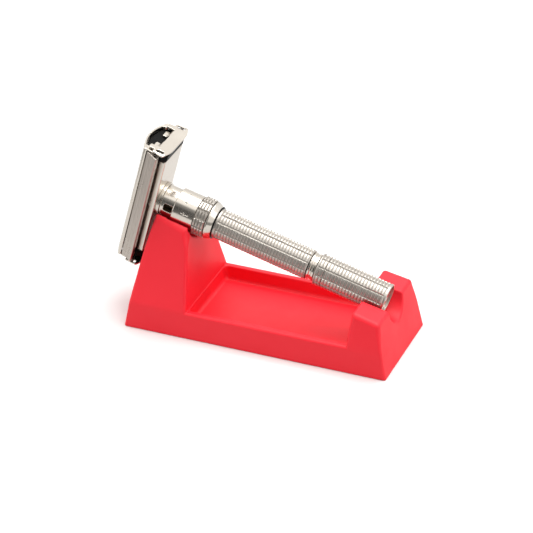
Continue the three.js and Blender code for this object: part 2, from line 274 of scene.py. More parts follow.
def revolve(outline, around, relief=None, relief_above=0.0):
    """Points and faces of an outline turned about the axis, with relief(angle, station) in its radius."""
    angle = np.arange(around) * 2 * math.pi / around
    radius = np.repeat(outline[:, :1], around, axis=1)
    station = np.repeat(outline[:, 1:], around, axis=1)
    sunk = np.zeros_like(radius)
    if relief is not None:
        sunk = np.where(radius > relief_above, relief(angle[None, :], station), 0)
    radius = radius - sunk
    points = np.stack([radius * np.cos(angle), radius * np.sin(angle), station], axis=2).reshape(-1, 3)
    rows = len(outline)
    i, j = np.meshgrid(np.arange(rows), np.arange(around), indexing="ij")
    k, m = (i + 1) % rows, (j + 1) % around
    faces = np.stack([i * around + j, i * around + m, k * around + m, k * around + j], axis=2)
    return points, faces.reshape(-1, 4), sunk.reshape(-1)


def turned(node, corners, finish, around=112, relief=None, relief_above=0.0, step=None, shade=None,
           extra=None, crease=32):
    """A turned piece, with relief sunk into it and darkened by shade(depth).

    extra is the points and faces of other closed shells that are part of it.
    """
    outline = filleted(corners)
    if step:
        outline = divided(outline, step)
    points, faces, sunk = revolve(outline, around, relief, relief_above)
    dark = np.zeros(len(points)) if shade is None else shade(sunk)
    faces = faces.tolist()
    if extra is not None:
        faces += [[i + len(points) for i in face] for face in extra[1]]
        dark = np.concatenate([dark, np.zeros(len(extra[0]))])
        points = np.concatenate([points, extra[0]])
    return finished(node, points, faces, finish, marks={"recess": dark}, crease=crease)


# ---------------------------------------------------------------- node helpers
def add(tree, kind, values=(), **settings):
    """A node with its settings, then its inputs: each value is a socket to link or a constant."""
    made = tree.nodes.new(kind)
    for key, value in settings.items():
        setattr(made, key, value)
    for key, value in dict(values).items():
        if isinstance(value, bpy.types.NodeSocket):
            tree.links.new(value, made.inputs[key])
        else:
            made.inputs[key].default_value = value
    return made


def maths(tree, operation, a, b=0.0):
    return add(tree, "ShaderNodeMath", {0: a, 1: b}, operation=operation).outputs[0]


def ranged(tree, value, start, end, low=0.0, high=1.0, **settings):
    """A value carried over from the range start to end to the range low to high, and kept inside it."""
    return add(tree, "ShaderNodeMapRange", {"Value": value, "From Min": start, "From Max": end,
                                            "To Min": low, "To Max": high}, **settings).outputs[0]


def mixed(tree, share, a, b):
    return add(tree, "ShaderNodeMix", {0: share, 6: a, 7: b}, data_type="RGBA").outputs[2]


def noise(tree, place, scale, detail, roughness=0.5):
    return add(tree, "ShaderNodeTexNoise", {"Vector": place, "Scale": scale, "Detail": detail,
                                            "Roughness": roughness}).outputs["Fac"]


def vector(tree, x, y, z):
    return add(tree, "ShaderNodeCombineXYZ", {0: x, 1: y, 2: z}).outputs[0]


def group(tree, which, values):
    return add(tree, "ShaderNodeGroup", values, node_tree=which).outputs


def socket(tree, name, kind="NodeSocketFloat", default=None, out=False):
    made = tree.interface.new_socket(name=name, in_out="OUTPUT" if out else "INPUT", socket_type=kind)
    if default is not None:
        made.default_value = default
    return made


# ---------------------------------------------------------------- shared finish effects
def grain_group():
    """Fine random grain: its height, and a slow change of tone."""
    tree = bpy.data.node_groups.new("surface_grain", "ShaderNodeTree")
    socket(tree, "Vector", "NodeSocketVector")
    socket(tree, "Fine Scale", default=2500.0)
    socket(tree, "Tone Scale", default=60.0)
    socket(tree, "Height", out=True)
    socket(tree, "Tone", out=True)
    given = add(tree, "NodeGroupInput").outputs
    fine = noise(tree, given["Vector"], given["Fine Scale"], 3.0, 0.6)
    slow = noise(tree, given["Vector"], given["Tone Scale"], 4.0, 0.55)
    add(tree, "NodeGroupOutput", {"Height": fine, "Tone": slow})
    return tree


def wear_group():
    """Mask of the outer edges, where handling polishes or lightens the finish."""
    tree = bpy.data.node_groups.new("edge_wear", "ShaderNodeTree")
    socket(tree, "Vector", "NodeSocketVector")
    socket(tree, "Start", default=0.52)
    socket(tree, "Full", default=0.62)
    socket(tree, "Breakup Scale", default=400.0)
    socket(tree, "Mask", out=True)
    given = add(tree, "NodeGroupInput").outputs
    pointed = add(tree, "ShaderNodeNewGeometry").outputs["Pointiness"]
    edge = ranged(tree, pointed, given["Start"], given["Full"], interpolation_type="SMOOTHSTEP")
    broken = ranged(tree, noise(tree, given["Vector"], given["Breakup Scale"], 2.0), 0.3, 0.65)
    add(tree, "NodeGroupOutput", {"Mask": maths(tree, "MULTIPLY", edge, broken)})
    return tree


def handling_group():
    """Hairline scratches and soft smudges, which change how rough a polished finish is."""
    tree = bpy.data.node_groups.new("handling_marks", "ShaderNodeTree")
    socket(tree, "Vector", "NodeSocketVector")
    socket(tree, "Scratch Scale", default=500.0)
    socket(tree, "Smudge Scale", default=110.0)
    socket(tree, "Scratches", out=True)
    socket(tree, "Smudges", out=True)
    given = add(tree, "NodeGroupInput").outputs
    turned_way = add(tree, "ShaderNodeMapping", {"Vector": given["Vector"], "Rotation": (0.4, 0.9, 0.3),
                                                 "Scale": (1.0, 0.06, 0.5)})
    thin = ranged(tree, noise(tree, turned_way.outputs[0], given["Scratch Scale"], 4.0), 0.6, 0.72)
    soft = noise(tree, given["Vector"], given["Smudge Scale"], 3.0)
    add(tree, "NodeGroupOutput", {"Scratches": thin, "Smudges": soft})
    return tree


GRAIN, WEAR, HANDLING = grain_group(), wear_group(), handling_group()
RAZOR_ANGLE = math.atan2(BLADE[0], BLADE[2])
# near-black that the recess mark mixes in: the dark fill of engraved marks, painted shade in the hinge slots and a
# darker floor between the grip's ribs
DARK_FILL_AND_SHADE = (0.02, 0.018, 0.015, 1.0)


def finish(name, colour, dark, worn, roughness, roughness_spread, metallic=0.0, fine=2500.0, bump=0.05,
           bump_distance=2e-5, wear=(0.53, 0.65), streaks=None, scratches=0.0, specular=0.5,
           recess_dark=0.0):
    """A finish: colour drifting towards dark, its worn edges, and its roughness and fine relief.

    streaks stretches a drawn grain along the razor, and recess_dark is how strongly the recess mark darkens the
    finish: the dark fill of engraved marks, painted shade in the hinge slots and a darker floor between the grip's
    ribs.
    """
    made = bpy.data.materials.new(name)
    made.use_nodes = True
    made.diffuse_color = (*colour, 1.0)
    tree = made.node_tree
    shader = tree.nodes["Principled BSDF"]
    place = add(tree, "ShaderNodeTexCoord").outputs["Object"]
    grain = group(tree, GRAIN, {"Vector": place, "Fine Scale": fine})
    edge = group(tree, WEAR, {"Vector": place, "Start": wear[0], "Full": wear[1]})
    marks = group(tree, HANDLING, {"Vector": place})
    drift = maths(tree, "MULTIPLY", grain["Tone"], 0.5)
    shown = mixed(tree, edge["Mask"], mixed(tree, drift, (*colour, 1.0), (*dark, 1.0)), (*worn, 1.0))
    rough = ranged(tree, marks["Smudges"], 0.3, 0.7, roughness - roughness_spread,
                   roughness + roughness_spread)
    rough = maths(tree, "ADD", rough, maths(tree, "MULTIPLY", marks["Scratches"], scratches))
    if recess_dark > 0:
        recess = add(tree, "ShaderNodeAttribute", attribute_name="recess").outputs["Fac"]
        shown = mixed(tree, maths(tree, "MULTIPLY", recess, recess_dark), shown, DARK_FILL_AND_SHADE)
        rough = maths(tree, "ADD", rough, maths(tree, "MULTIPLY", recess, 0.25))
    height = grain["Height"]
    if streaks:
        along = add(tree, "ShaderNodeMapping", {"Vector": place, "Rotation": (0.0, -RAZOR_ANGLE, 0.0)},
                    vector_type="POINT")
        drawn = add(tree, "ShaderNodeMapping", {"Vector": along.outputs[0], "Scale": streaks})
        lines = noise(tree, drawn.outputs[0], 1.0, 5.0, 0.7)
        height = maths(tree, "ADD", height, maths(tree, "MULTIPLY", lines, 3.0))
        rough = maths(tree, "ADD", rough, maths(tree, "MULTIPLY", lines, 0.12))
    relief = add(tree, "ShaderNodeBump", {"Height": height, "Strength": bump, "Distance": bump_distance})
    tree.links.new(shown, shader.inputs["Base Color"])
    tree.links.new(rough, shader.inputs["Roughness"])
    tree.links.new(relief.outputs[0], shader.inputs["Normal"])
    shader.inputs["Metallic"].default_value = metallic
    shader.inputs["Specular IOR Level"].default_value = specular
    return made


RED = finish("red_matte_moulding", (0.90, 0.009, 0.026), (0.84, 0.007, 0.02), (0.84, 0.022, 0.036),
             0.5, 0.05, fine=2600.0, bump=0.25, bump_distance=3e-5, wear=(0.54, 0.7), specular=0.48)
NICKEL = finish("warm_bright_nickel", (0.74, 0.69, 0.62), (0.66, 0.60, 0.53), (0.84, 0.80, 0.74),
                0.18, 0.05, metallic=1.0, fine=3200.0, bump=0.07, scratches=0.12, recess_dark=0.82)
WORN = finish("worn_grip_nickel", (0.58, 0.54, 0.49), (0.48, 0.44, 0.40), (0.74, 0.71, 0.67), 0.36, 0.05,
              metallic=1.0, fine=2200.0, bump=0.3, scratches=0.1, recess_dark=0.36)
BRUSHED = finish("brushed_guard_nickel", (0.56, 0.505, 0.455), (0.42, 0.37, 0.33), (0.78, 0.73, 0.67),
                 0.26, 0.06, metallic=1.0, fine=3200.0, bump=0.35, streaks=(25.0, 2600.0, 2600.0),
                 scratches=0.1)
BLACK = finish("glossy_black_moulding", (0.007, 0.007, 0.007), (0.004, 0.004, 0.004),
               (0.05, 0.048, 0.045), 0.3, 0.06, fine=2400.0, bump=0.08, scratches=0.08, specular=0.06)
BRASS = finish("turned_brass", (0.62, 0.43, 0.2), (0.5, 0.33, 0.14), (0.72, 0.55, 0.3), 0.3, 0.06,
               metallic=1.0, bump=0.12, scratches=0.1)
STEEL = finish("drawn_steel", (0.5, 0.49, 0.47), (0.4, 0.39, 0.37), (0.62, 0.61, 0.6), 0.32, 0.06,
               metallic=1.0, bump=0.15, scratches=0.1)
BLACKENED = finish("blackened_brass", (0.02, 0.017, 0.014), (0.012, 0.01, 0.009), (0.12, 0.09, 0.05), 0.5,
                   0.06, metallic=0.6, bump=0.1, scratches=0.08)
FINISHES = {"red_plastic": RED, "nickel": NICKEL, "brushed_nickel": BRUSHED, "black_plastic": BLACK,
            "brass": BRASS, "steel": STEEL}

# ---------------------------------------------------------------- stand
# insets and leans are millimetres inwards per millimetre of height
BASE = {"half": 47.15, "inset": 0.2021, "half_width": 18.55, "side_inset": 0.0792, "height": 9.6,
        "edge": 0.9}
TRAY = {"left": -24.3, "right": 32.9, "half_width": 15.5, "floor": 4.3}
# top is a point (x, z) of the sloping top and its slope; side_round is the low and the high edge radius
POSTS = [
    {"left": -45.2, "right": -24.4, "left_lean": 0.182, "right_lean": -0.091, "side_lean": 0.357,
     "top": (-45.2, 41.75, -0.306), "side_round": (0.9, 2.2)},
    {"left": 32.9, "right": 45.2, "left_lean": 0.097, "right_lean": -0.148, "side_lean": 0.23,
     "top": (45.2, 18.67, -0.231), "side_round": (0.9, 1.4)},
]
# each groove is its first and last station and its radius, about a line lifted off the razor's axis
GROOVES = [(-12, 12, 6.3), (60, 70.3, 7.8), (70, 78.3, 6.95), (78, 92, 6.7)]
GROOVE_LIFT = 0.3
HEAD_REST = 82.2


def groove_field(x, y, z):
    """The grooves that the razor lies in, and each point's station along the razor."""
    local = [(np.asarray(c) - o / MM) for c, o in zip((x, y, z), ORIGIN)]
    u = sum(c * TURN[i, 0] for i, c in enumerate(local))
    s = sum(c * TURN[i, 2] for i, c in enumerate(local))
    across = np.hypot(u - GROOVE_LIFT, y)
    out = None
    for first, last, radius in GROOVES:
        part = both(across - radius, between(s, first, last), 0.3)
        out = part if out is None else either(out, part)
    return out, s


def post_field(x, z, side, ends, sides, shape):
    """A post whose outer faces run on softly into the base's ends and sides."""
    top_x, top_z, top_slope = shape["top"]
    top = (z - top_z - top_slope * (x - top_x)) / math.hypot(1, top_slope)
    left = leaning(x, z, shape["left"], BASE["height"], shape["left_lean"], -1)
    right = leaning(x, z, shape["right"], BASE["height"], -shape["right_lean"], 1)
    slanted = (side - BASE["half_width"] + BASE["side_inset"] * BASE["height"]
               + shape["side_lean"] * (z - BASE["height"])) / math.hypot(1, shape["side_lean"])
    if shape["left"] > 0:
        left = np.where(z < BASE["height"], shape["left"] - x, left)
        right = -blended(-right, -ends, 0.3)
    else:
        left = -blended(-left, -ends, 0.3)
    outline = both(both(left, top, 1.0), right, BASE["edge"])
    low, high = shape["side_round"]
    rounding = low + (high - low) * eased((top + 6.5) / 4.5)
    return both(outline, blended(slanted, sides, 0.25), rounding)


def stand_field(x, y, z):
    side = np.abs(y)
    ends = leaning(np.abs(x), z, BASE["half"], 0, BASE["inset"], 1)
    sides = leaning(side, z, BASE["half_width"], 0, BASE["side_inset"], 1)
    upper = both(z - BASE["height"], both(ends, sides, BASE["edge"]), BASE["edge"])
    for shape in POSTS:
        upper = np.minimum(upper, post_field(x, z, side, ends, sides, shape))
    hollow = both(both(between(x, TRAY["left"], TRAY["right"]), side - TRAY["half_width"], 1.6),
                  TRAY["floor"] - z, 1.3)
    body = without(upper, hollow, 0.45)
    body = both(body, -z, 0.35)
    grooves, s = groove_field(x, y, z)
    body = both(body, s - HEAD_REST, 0.7)
    return without(body, grooves, 0.55)


points, faces, normals = skin(stand_field, (-47.2, -18.6, 0), (47.2, 18.6, 42), 0.44)
finished("stand_body", points, faces, RED, razor=False, normals=normals)

# ---------------------------------------------------------------- ribs of the grips
RIB_TOP = 0.62  # share of a rib's length that is left at its top


def rib_tree():
    """Short cross ribs in lengthwise bands, laid out flat and then wrapped round the axis."""
    tree = bpy.data.node_groups.new("cross_ribs", "GeometryNodeTree")
    for name, kind, default in (
            ("Radius", "NodeSocketFloat", 0.005), ("First Station", "NodeSocketFloat", 0.0),
            ("Pitch", "NodeSocketFloat", 0.0012), ("Rows", "NodeSocketInt", 10),
            ("Bands", "NodeSocketInt", 12), ("Phase", "NodeSocketFloat", 0.0),
            ("Rib Width", "NodeSocketFloat", 0.002), ("Rib Length", "NodeSocketFloat", 0.0006),
            ("Rib Height", "NodeSocketFloat", 0.0004), ("Seed", "NodeSocketInt", 7)):
        socket(tree, name, kind, default)
    socket(tree, "Finish", "NodeSocketMaterial")
    socket(tree, "Geometry", "NodeSocketGeometry", out=True)
    given = add(tree, "NodeGroupInput").outputs
    index = add(tree, "GeometryNodeInputIndex").outputs[0]
    row = maths(tree, "FLOOR", maths(tree, "DIVIDE", index, given["Bands"]))
    band = maths(tree, "FLOORED_MODULO", index, given["Bands"])
    arc = maths(tree, "DIVIDE", maths(tree, "MULTIPLY", given["Radius"], 2 * math.pi), given["Bands"])
    spot = vector(tree, given["Radius"], maths(tree, "MULTIPLY", maths(tree, "ADD", band, 0.5), arc),
                  maths(tree, "ADD", given["First Station"],
                        maths(tree, "MULTIPLY", maths(tree, "ADD", row, 0.5), given["Pitch"])))
    count = maths(tree, "MULTIPLY", given["Rows"], given["Bands"])
    points = add(tree, "GeometryNodePoints", {"Count": count, "Position": spot})
    size = vector(tree, given["Rib Height"], given["Rib Width"], given["Rib Length"])
    bar = add(tree, "GeometryNodeMeshCube", {"Size": size, "Vertices X": 3, "Vertices Y": 6,
                                             "Vertices Z": 3})
    here = add(tree, "GeometryNodeInputPosition").outputs[0]
    x, y, z = add(tree, "ShaderNodeSeparateXYZ", {0: here}).outputs
    lift = ranged(tree, maths(tree, "DIVIDE", x, given["Rib Height"]), 0.0, 0.5, 1.0, RIB_TOP)
    narrow = ranged(tree, lift, RIB_TOP, 1.0, 0.9, 1.0)
    tapered = vector(tree, x, maths(tree, "MULTIPLY", y, narrow), maths(tree, "MULTIPLY", z, lift))
    shaped = add(tree, "GeometryNodeSetPosition", {"Geometry": bar.outputs["Mesh"], "Position": tapered})
    worn = add(tree, "FunctionNodeRandomValue", {"Seed": given["Seed"], 2: 0.86, 3: 1.0},
               data_type="FLOAT")
    laid = add(tree, "GeometryNodeInstanceOnPoints", {"Points": points.outputs[0],
                                                      "Instance": shaped.outputs[0],
                                                      "Scale": vector(tree, worn.outputs[1], 1.0, 1.0)})
    solid = add(tree, "GeometryNodeRealizeInstances", {"Geometry": laid.outputs[0]})
    angle = maths(tree, "ADD", maths(tree, "DIVIDE", y, given["Radius"]), given["Phase"])
    wrapped = vector(tree, maths(tree, "MULTIPLY", x, maths(tree, "COSINE", angle)),
                     maths(tree, "MULTIPLY", x, maths(tree, "SINE", angle)), z)
    round_it = add(tree, "GeometryNodeSetPosition", {"Geometry": solid.outputs[0], "Position": wrapped})
    painted = add(tree, "GeometryNodeSetMaterial", {"Geometry": round_it.outputs[0],
                                                    "Material": given["Finish"]})
    add(tree, "NodeGroupOutput", {"Geometry": painted.outputs[0]})
    return tree


def coil_tree():
    """A closed-ended coil of round wire about the axis."""
    tree = bpy.data.node_groups.new("wire_coil", "GeometryNodeTree")
    for name, kind, default in (
            ("Start", "NodeSocketFloat", 0.0), ("Height", "NodeSocketFloat", 0.01),
            ("Coil Radius", "NodeSocketFloat", 0.002), ("Wire Radius", "NodeSocketFloat", 0.0003),
            ("Turns", "NodeSocketFloat", 5.0)):
        socket(tree, name, kind, default)
    socket(tree, "Finish", "NodeSocketMaterial")
    socket(tree, "Geometry", "NodeSocketGeometry", out=True)
    given = add(tree, "NodeGroupInput").outputs
    helix = add(tree, "GeometryNodeCurveSpiral", {"Resolution": 28, "Rotations": given["Turns"],
                                                  "Start Radius": given["Coil Radius"],
                                                  "End Radius": given["Coil Radius"],
                                                  "Height": given["Height"]})
    wire = add(tree, "GeometryNodeCurvePrimitiveCircle", {"Resolution": 12,
                                                          "Radius": given["Wire Radius"]})
    body = add(tree, "GeometryNodeCurveToMesh", {"Curve": helix.outputs[0],
                                                 "Profile Curve": wire.outputs[0], "Fill Caps": True})
    placed = add(tree, "GeometryNodeSetPosition", {"Geometry": body.outputs[0],
                                                   "Offset": vector(tree, 0.0, 0.0, given["Start"])})
    solid = add(tree, "GeometryNodeRealizeInstances", {"Geometry": placed.outputs[0]})
    painted = add(tree, "GeometryNodeSetMaterial", {"Geometry": solid.outputs[0],
                                                    "Material": given["Finish"]})
    add(tree, "NodeGroupOutput", {"Geometry": painted.outputs[0]})
    return tree


def grown(tree, values):
    """Points in millimetres and faces that a geometry node tree makes with these inputs."""
    carrier = bpy.data.objects.new("carrier", bpy.data.meshes.new("carrier"))
    bpy.context.scene.collection.objects.link(carrier)
    modifier = carrier.modifiers.new("grow", "NODES")
    modifier.node_group = tree
    for item in tree.interface.items_tree:
        if item.in_out == "INPUT" and item.name in values:
            modifier[item.identifier] = values[item.name]
    graph = bpy.context.evaluated_depsgraph_get()
    mesh = bpy.data.meshes.new_from_object(carrier.evaluated_get(graph))
    points = np.empty(len(mesh.vertices) * 3)
    mesh.vertices.foreach_get("co", points)
    faces = [list(face.vertices) for face in mesh.polygons]
    bpy.data.objects.remove(carrier)
    return points.reshape(-1, 3) / MM, faces


RIBS, COIL = rib_tree(), coil_tree()


RIB_SHARE, RIB_EMBED = 0.68, 0.12


def grip(node, corners, bands, phase, first, last, pitch, gap, rib_height, flute, groove_width,
         relief_above=4.9, rings=()):
    """A fluted grip: turned bands with grooves between them, and cross ribs standing on each band.

    The bands run from station first to last, phase is a groove's angle, and rings are turned grooves.
    """
    low, high, radius = length_and_radius(node)
    seat = radius - 0.02 - rib_height

    def relief(angle, station):
        turn = (angle - math.radians(phase)) * bands / (2 * math.pi)
        off = np.abs(turn - np.round(turn)) * 2 * math.pi / bands * radius
        depth = flute * np.clip(1 - off / groove_width, 0, 1)
        on = np.clip((station - first) / 0.35, 0, 1) * np.clip((last - station) / 0.35, 0, 1)
        depth = (depth + (radius - seat)) * on
        for at, half, deep in rings:
            depth = np.maximum(depth, deep * np.clip(1.4 - np.abs(station - at) / half, 0, 1))
        return depth

    rows = int(round((last - first - 0.5) / pitch))
    start = (first + last - rows * pitch) / 2
    ribs = grown(RIBS, {
        "Radius": (seat + (rib_height - RIB_EMBED) / 2) * MM, "First Station": start * MM,
        "Pitch": pitch * MM, "Rows": rows, "Bands": bands, "Phase": math.radians(phase),
        "Rib Width": (2 * math.pi * radius / bands - gap) * MM, "Rib Length": pitch * RIB_SHARE * MM,
        "Rib Height": (rib_height + RIB_EMBED) * MM, "Finish": WORN})

    def shade(sunk):
        """Darker between the ribs, and less dark in the open grooves."""
        floor = np.clip(sunk / rib_height, 0, 1)
        return floor * (1 - 0.6 * np.clip((sunk - rib_height) / flute, 0, 1))

    return turned(node, corners(low, high, radius), WORN, around=bands * 20, relief=relief,
                  relief_above=relief_above, step=0.25, extra=ribs, crease=28, shade=shade)


# stations between which the black ring and the neck's flange fill the gaps beside them
SPACER, FLANGE = (62.68, 62.92), (82.22, 83.37)


def handle_corners(low, _, radius):
    return [(3.15, low, 0.1), (radius, low, 0.18), (radius, SPACER[0], 0.18), (4.15, SPACER[0], 0.1),
            (4.15, 52.0, 0.1), (3.15, 52.0, 0.1)]


def knob_corners(low, high, radius):
    return [(4.85, low, 0.12), (radius, low, 0.3), (radius, high, 0.3), (3.25, high, 0.1),
            (3.25, low + 2.6, 0.1), (4.85, low + 2.6, 0.1)]


def collar_corners(low, high, radius):
    return [(5.12, low, 0.08), (radius - 0.1, low, 0.25), (radius - 0.1, high, 0.25), (5.12, high, 0.08)]


grip("handle_barrel", handle_corners, 11, -51, 28.3, 62.0, 1.058, 0.62, 0.15, 0.26, 0.36)
grip("knob_sleeve", knob_corners, 11, -47, 0.85, 24.9, 1.119, 0.66, 0.17, 0.28, 0.38,
     rings=[(22.6, 0.28, 0.5)])
grip("dial_collar", collar_corners, 13, -66, 65.5, 69.6, 1.02, 0.85, 0.3, 0.28, 0.4,
     relief_above=6.5)

# ---------------------------------------------------------------- plain turned pieces
TURNING_GAP = 0.03  # between the black ring, which stays, and the dial, which turns
low, high, radius = length_and_radius("knob_end_cap")
turned("knob_end_cap", [(0.0, low + 0.25, 0), (0.9, low + 0.25, 0.2), (1.3, low, 0.2),
                        (radius, low, 0.25), (radius, high, 0.1), (0.0, high, 0)], NICKEL)
low, high, radius = length_and_radius("handle_ferrule")
turned("handle_ferrule", [(2.25, low, 0.05), (radius, low, 0.15), (radius, low + 0.75, 0.12),
                          (radius - 0.28, low + 1.0, 0.1), (radius - 0.28, high - 0.9, 0.1),
                          (radius, high - 0.6, 0.12), (radius, high, 0.15), (2.25, high, 0.05)], NICKEL)
low, high = SPACER
radius = length_and_radius("spacer_ring")[2]
turned("spacer_ring", [(4.35, low, 0.05), (radius, low, 0.08), (radius, high, 0.08),
                       (4.35, high, 0.05)], BLACK)
low, high, radius = length_and_radius("dial_ring")
low = SPACER[1] + TURNING_GAP
turned("dial_ring", [(4.35, low, 0.05), (5.62, low, 0.2), (5.9, low + 0.5, 0.3),
                     (radius, high - 0.45, 0.25), (radius, high, 0.15), (4.35, high, 0.05)], NICKEL)
low, high = FLANGE
radius = length_and_radius("neck_flange")[2]
turned("neck_flange", [(3.35, low, 0.05), (radius, low, 0.07), (radius, high, 0.1),
                       (3.35, high, 0.05)], NICKEL)


MARK = {"angle": -73, "radius": 6.3, "tick_turn": 36, "depth": 0.12}


def index_mark(angle, station):
    """An engraved index line with a short bar across it, and a row of ticks on the dial's sleeve."""
    def spot(at_degrees, at_station, half_width, half_length):
        off = np.angle(np.exp(1j * (angle - math.radians(at_degrees)))) * MARK["radius"]
        return np.maximum(np.abs(off) / half_width, np.abs(station - at_station) / half_length)

    nearest = np.minimum(spot(MARK["angle"], 73.1, 0.1, 1.1), spot(MARK["angle"], 73.5, 0.42, 0.1))
    for k in range(1, 9):
        nearest = np.minimum(nearest, spot(MARK["angle"] + MARK["tick_turn"] * k, 74.0, 0.13, 0.25))
    return MARK["depth"] * np.clip((1.35 - nearest) / 0.35, 0, 1)


low, high, radius = length_and_radius("dial_sleeve")
turned("dial_sleeve", [(5.15, low, 0.05), (radius, low, 0.14), (radius, high, 0.3),
                       (5.15, high, 0.05)], NICKEL, around=420, relief=index_mark, relief_above=6.0,
       step=0.12, shade=lambda sunk: sunk / MARK["depth"], crease=40)

# ---------------------------------------------------------------- neck with its window
NECK_LOW, NECK_HIGH, _ = length_and_radius("neck_tube")
WINDOW = {"from": 77.4, "to": 80.9, "half": 1.25, "angle": math.radians(172)}


def neck_field(u, v, s):
    """A bored stem and drum, with the window in the drum and the slot of the plunger's pin in the stem."""
    r = np.hypot(u, v)
    stem = both(r - 3.8, s - 78.4)
    drum = both(r - 5.45, between(s, 77.15, 82.2), 0.1)
    body = either(stem, drum)
    body = both(body, between(s, NECK_LOW, NECK_HIGH), 0.1)
    body = without(body, r - 3.2, 0.08)
    turn = WINDOW["angle"]
    along = u * math.sin(turn) + v * math.cos(turn)
    side = u * math.cos(turn) - v * math.sin(turn)
    slot = both(both(between(s, WINDOW["from"], WINDOW["to"]), np.abs(side) - WINDOW["half"], 0.5),
                2.6 - along)
    body = without(body, slot, 0.16)
    pin_slot = both(both(between(s, 71.5, 74.2), np.abs(u) - 0.9, 0.3), 2.6 - v)
    return without(body, pin_slot, 0.05)


carved("neck_tube", neck_field, 0.2, NICKEL)

# ---------------------------------------------------------------- head
CROWN, DOOR_RADIUS, DOOR_WALL = 93.5, 17.2, 0.7
ARC_CENTRE = CROWN - DOOR_RADIUS
HINGE_V, HINGE_S = 8.8, 85.6


def from_crown(v, s):
    """Height over the closed doors' arched outer face."""
    return np.hypot(v, s - ARC_CENTRE) - DOOR_RADIUS


def convex(v, s, corners, r=0.0):
    """Distance field of a convex outline of (v, s) corners, given in order, with rounded corners."""
    out = None
    middle = np.mean(corners, axis=0)
    for a, b in zip(corners, corners[1:] + corners[:1]):
        across = np.array([b[1] - a[1], a[0] - b[0]], float)
        across /= np.linalg.norm(across)
        if across @ (middle - np.array(a)) > 0:
            across = -across
        edge = (v - a[0]) * across[0] + (s - a[1]) * across[1]
        out = edge if out is None else both(out, edge, r)
    return out


def door_field(side):
    """An arched door with its outer lip, an ear at each end and the hinge pins in the ears."""
    def field(u, v, s):
        across = side * v
        arc = from_crown(v, s)
        shell = both(between(arc, -DOOR_WALL, 0), between(across, 0.25, 9.15), 0.2)
        lip = both(between(across, 8.55, 9.15), between(s, 90.35, 91.2), 0.12)
        shell = either(shell, lip, 0.25)
        shell = both(shell, np.abs(u) - 22.28, 0.22)
        ear = convex(across, s, [(6.4, 91.4), (7.2, 88.0), (7.9, 85.4), (8.8, 84.8), (9.6, 85.6),
                                 (9.4, 87.5), (9.05, 90.7)], 0.35)
        ear = both(ear, between(np.abs(u), 21.8, 22.28), 0.16)
        pin = both(np.hypot(across - HINGE_V, s - HINGE_S) - 0.42, between(np.abs(u), 21.9, 23.12), 0.1)
        return either(either(shell, both(ear, arc), 0.3), pin, 0.12)
    return field


def hinge_slot_shade(u, v, s):
    """Painted shade: dark where an ear and its pin are seen through the slot of its end plate."""
    inside = both(np.abs(np.abs(v) - HINGE_V) - 0.95, np.abs(s - HINGE_S) - 1.6)
    return 1.0 * (both(inside, 21.7 - np.abs(u)) < 0)


# the ears and pins behind the end plates' slots are painted dark as shade
carved("door_near", door_field(-1), 0.2, NICKEL, painted_shade=hinge_slot_shade)
carved("door_far", door_field(1), 0.2, NICKEL, painted_shade=hinge_slot_shade)


GUARD = {"top": 89.9, "top_v": 9.15, "slope": (11.2 - 9.15) / (89.9 - 86.1), "wall": 0.62}


def guard_field(side):
    """A slanted guard bar with two fine creases, a lip along its foot and an inner fold."""
    def face_v(s):
        return GUARD["top_v"] + (GUARD["top"] - s) * GUARD["slope"]

    def field(u, v, s):
        across = side * v
        face = (across - face_v(s)) / math.hypot(1, GUARD["slope"])
        web = both(both(face, -face - GUARD["wall"]), between(s, 85.7, GUARD["top"]), 0.14)
        lip = both(between(across, 9.3, 11.15), between(s, 85.5, 86.1), 0.2)
        fold = both(between(across, 8.98, 9.32), between(s, 85.5, 89.4), 0.12)
        body = both(either(either(web, lip, 0.3), fold, 0.15), np.abs(u) - 21.5, 0.15)
        for station in (87.2, 88.5):
            crease = np.hypot(across - face_v(station), s - station) - 0.16
            body = without(body, crease, 0.08)
        return body
    return field


carved("guard_bar_near", guard_field(-1), 0.17, BRUSHED, margin=0.5)
carved("guard_bar_far", guard_field(1), 0.17, BRUSHED, margin=0.5)


def end_block_field(u, v, s):
    """Both black blocks at once; each node's box holds one of them."""
    body = both(between(v, -8, 8), 83.3 - s)
    body = both(body, convex(np.abs(v), s, [(0, 83.3), (6.6, 83.3), (8.0, 85.0), (8.0, 94), (0, 94)]))
    body = both(body, from_crown(v, s) + 1.2, 0.35)
    body = both(body, between(np.abs(u), 16.4, 21.2), 0.3)
    body = without(body, both(s - 86.9, np.abs(u) - 18.9), 0.1)
    channel = both(between(np.abs(v), 6.4, 6.75), between(s, 84.4, 90.4), 0.1)
    groove = both(channel, 20.95 - np.abs(u))
    return without(body, groove, 0.05)


def end_plate_field(u, v, s):
    """Both end plates at once: slotted for the hinge pins, with bent tips and two lugs bent inwards."""
    wide = np.abs(v)
    bend = np.clip(wide - 8.95, 0, 3)
    depth = np.abs(u) + bend * bend * 0.19
    outline = convex(wide, s, [(-20, 82.5), (6.4, 82.5), (10.2, 83.9), (10.2, 86.2), (9.4, 87.1),
                               (-20, 87.1)], 0.45)
    lug = both(np.abs(wide - 3.9) - 1.55, between(s, 86.2, 89.6), 0.3)
    shoulder = both(np.abs(wide - 7.15) - 1.0, between(s, 86.0, 90.1), 0.5)
    rim = both(np.abs(wide - 8.0) - 1.85, between(s, 86.0, 88.0), 0.5)
    outline = either(either(either(outline, shoulder, 0.3), rim, 0.2), lug, 0.3)
    depth = depth + 1.28 * eased((s - 86.9) / 1.5) * (wide < 5.8)
    slot = both(np.abs(wide - 8.6) - 0.7, np.abs(s - 85.75) - 1.35, 0.5)
    outline = without(outline, slot)
    return both(outline, between(depth, 22.62, 23.18), 0.14)


for end in ("lower", "upper"):
    carved("end_block_" + end, end_block_field, 0.22, BLACK)
    carved("end_plate_" + end, end_plate_field, 0.15, NICKEL, margin=np.array([2.3, 0.6, 1.2]))


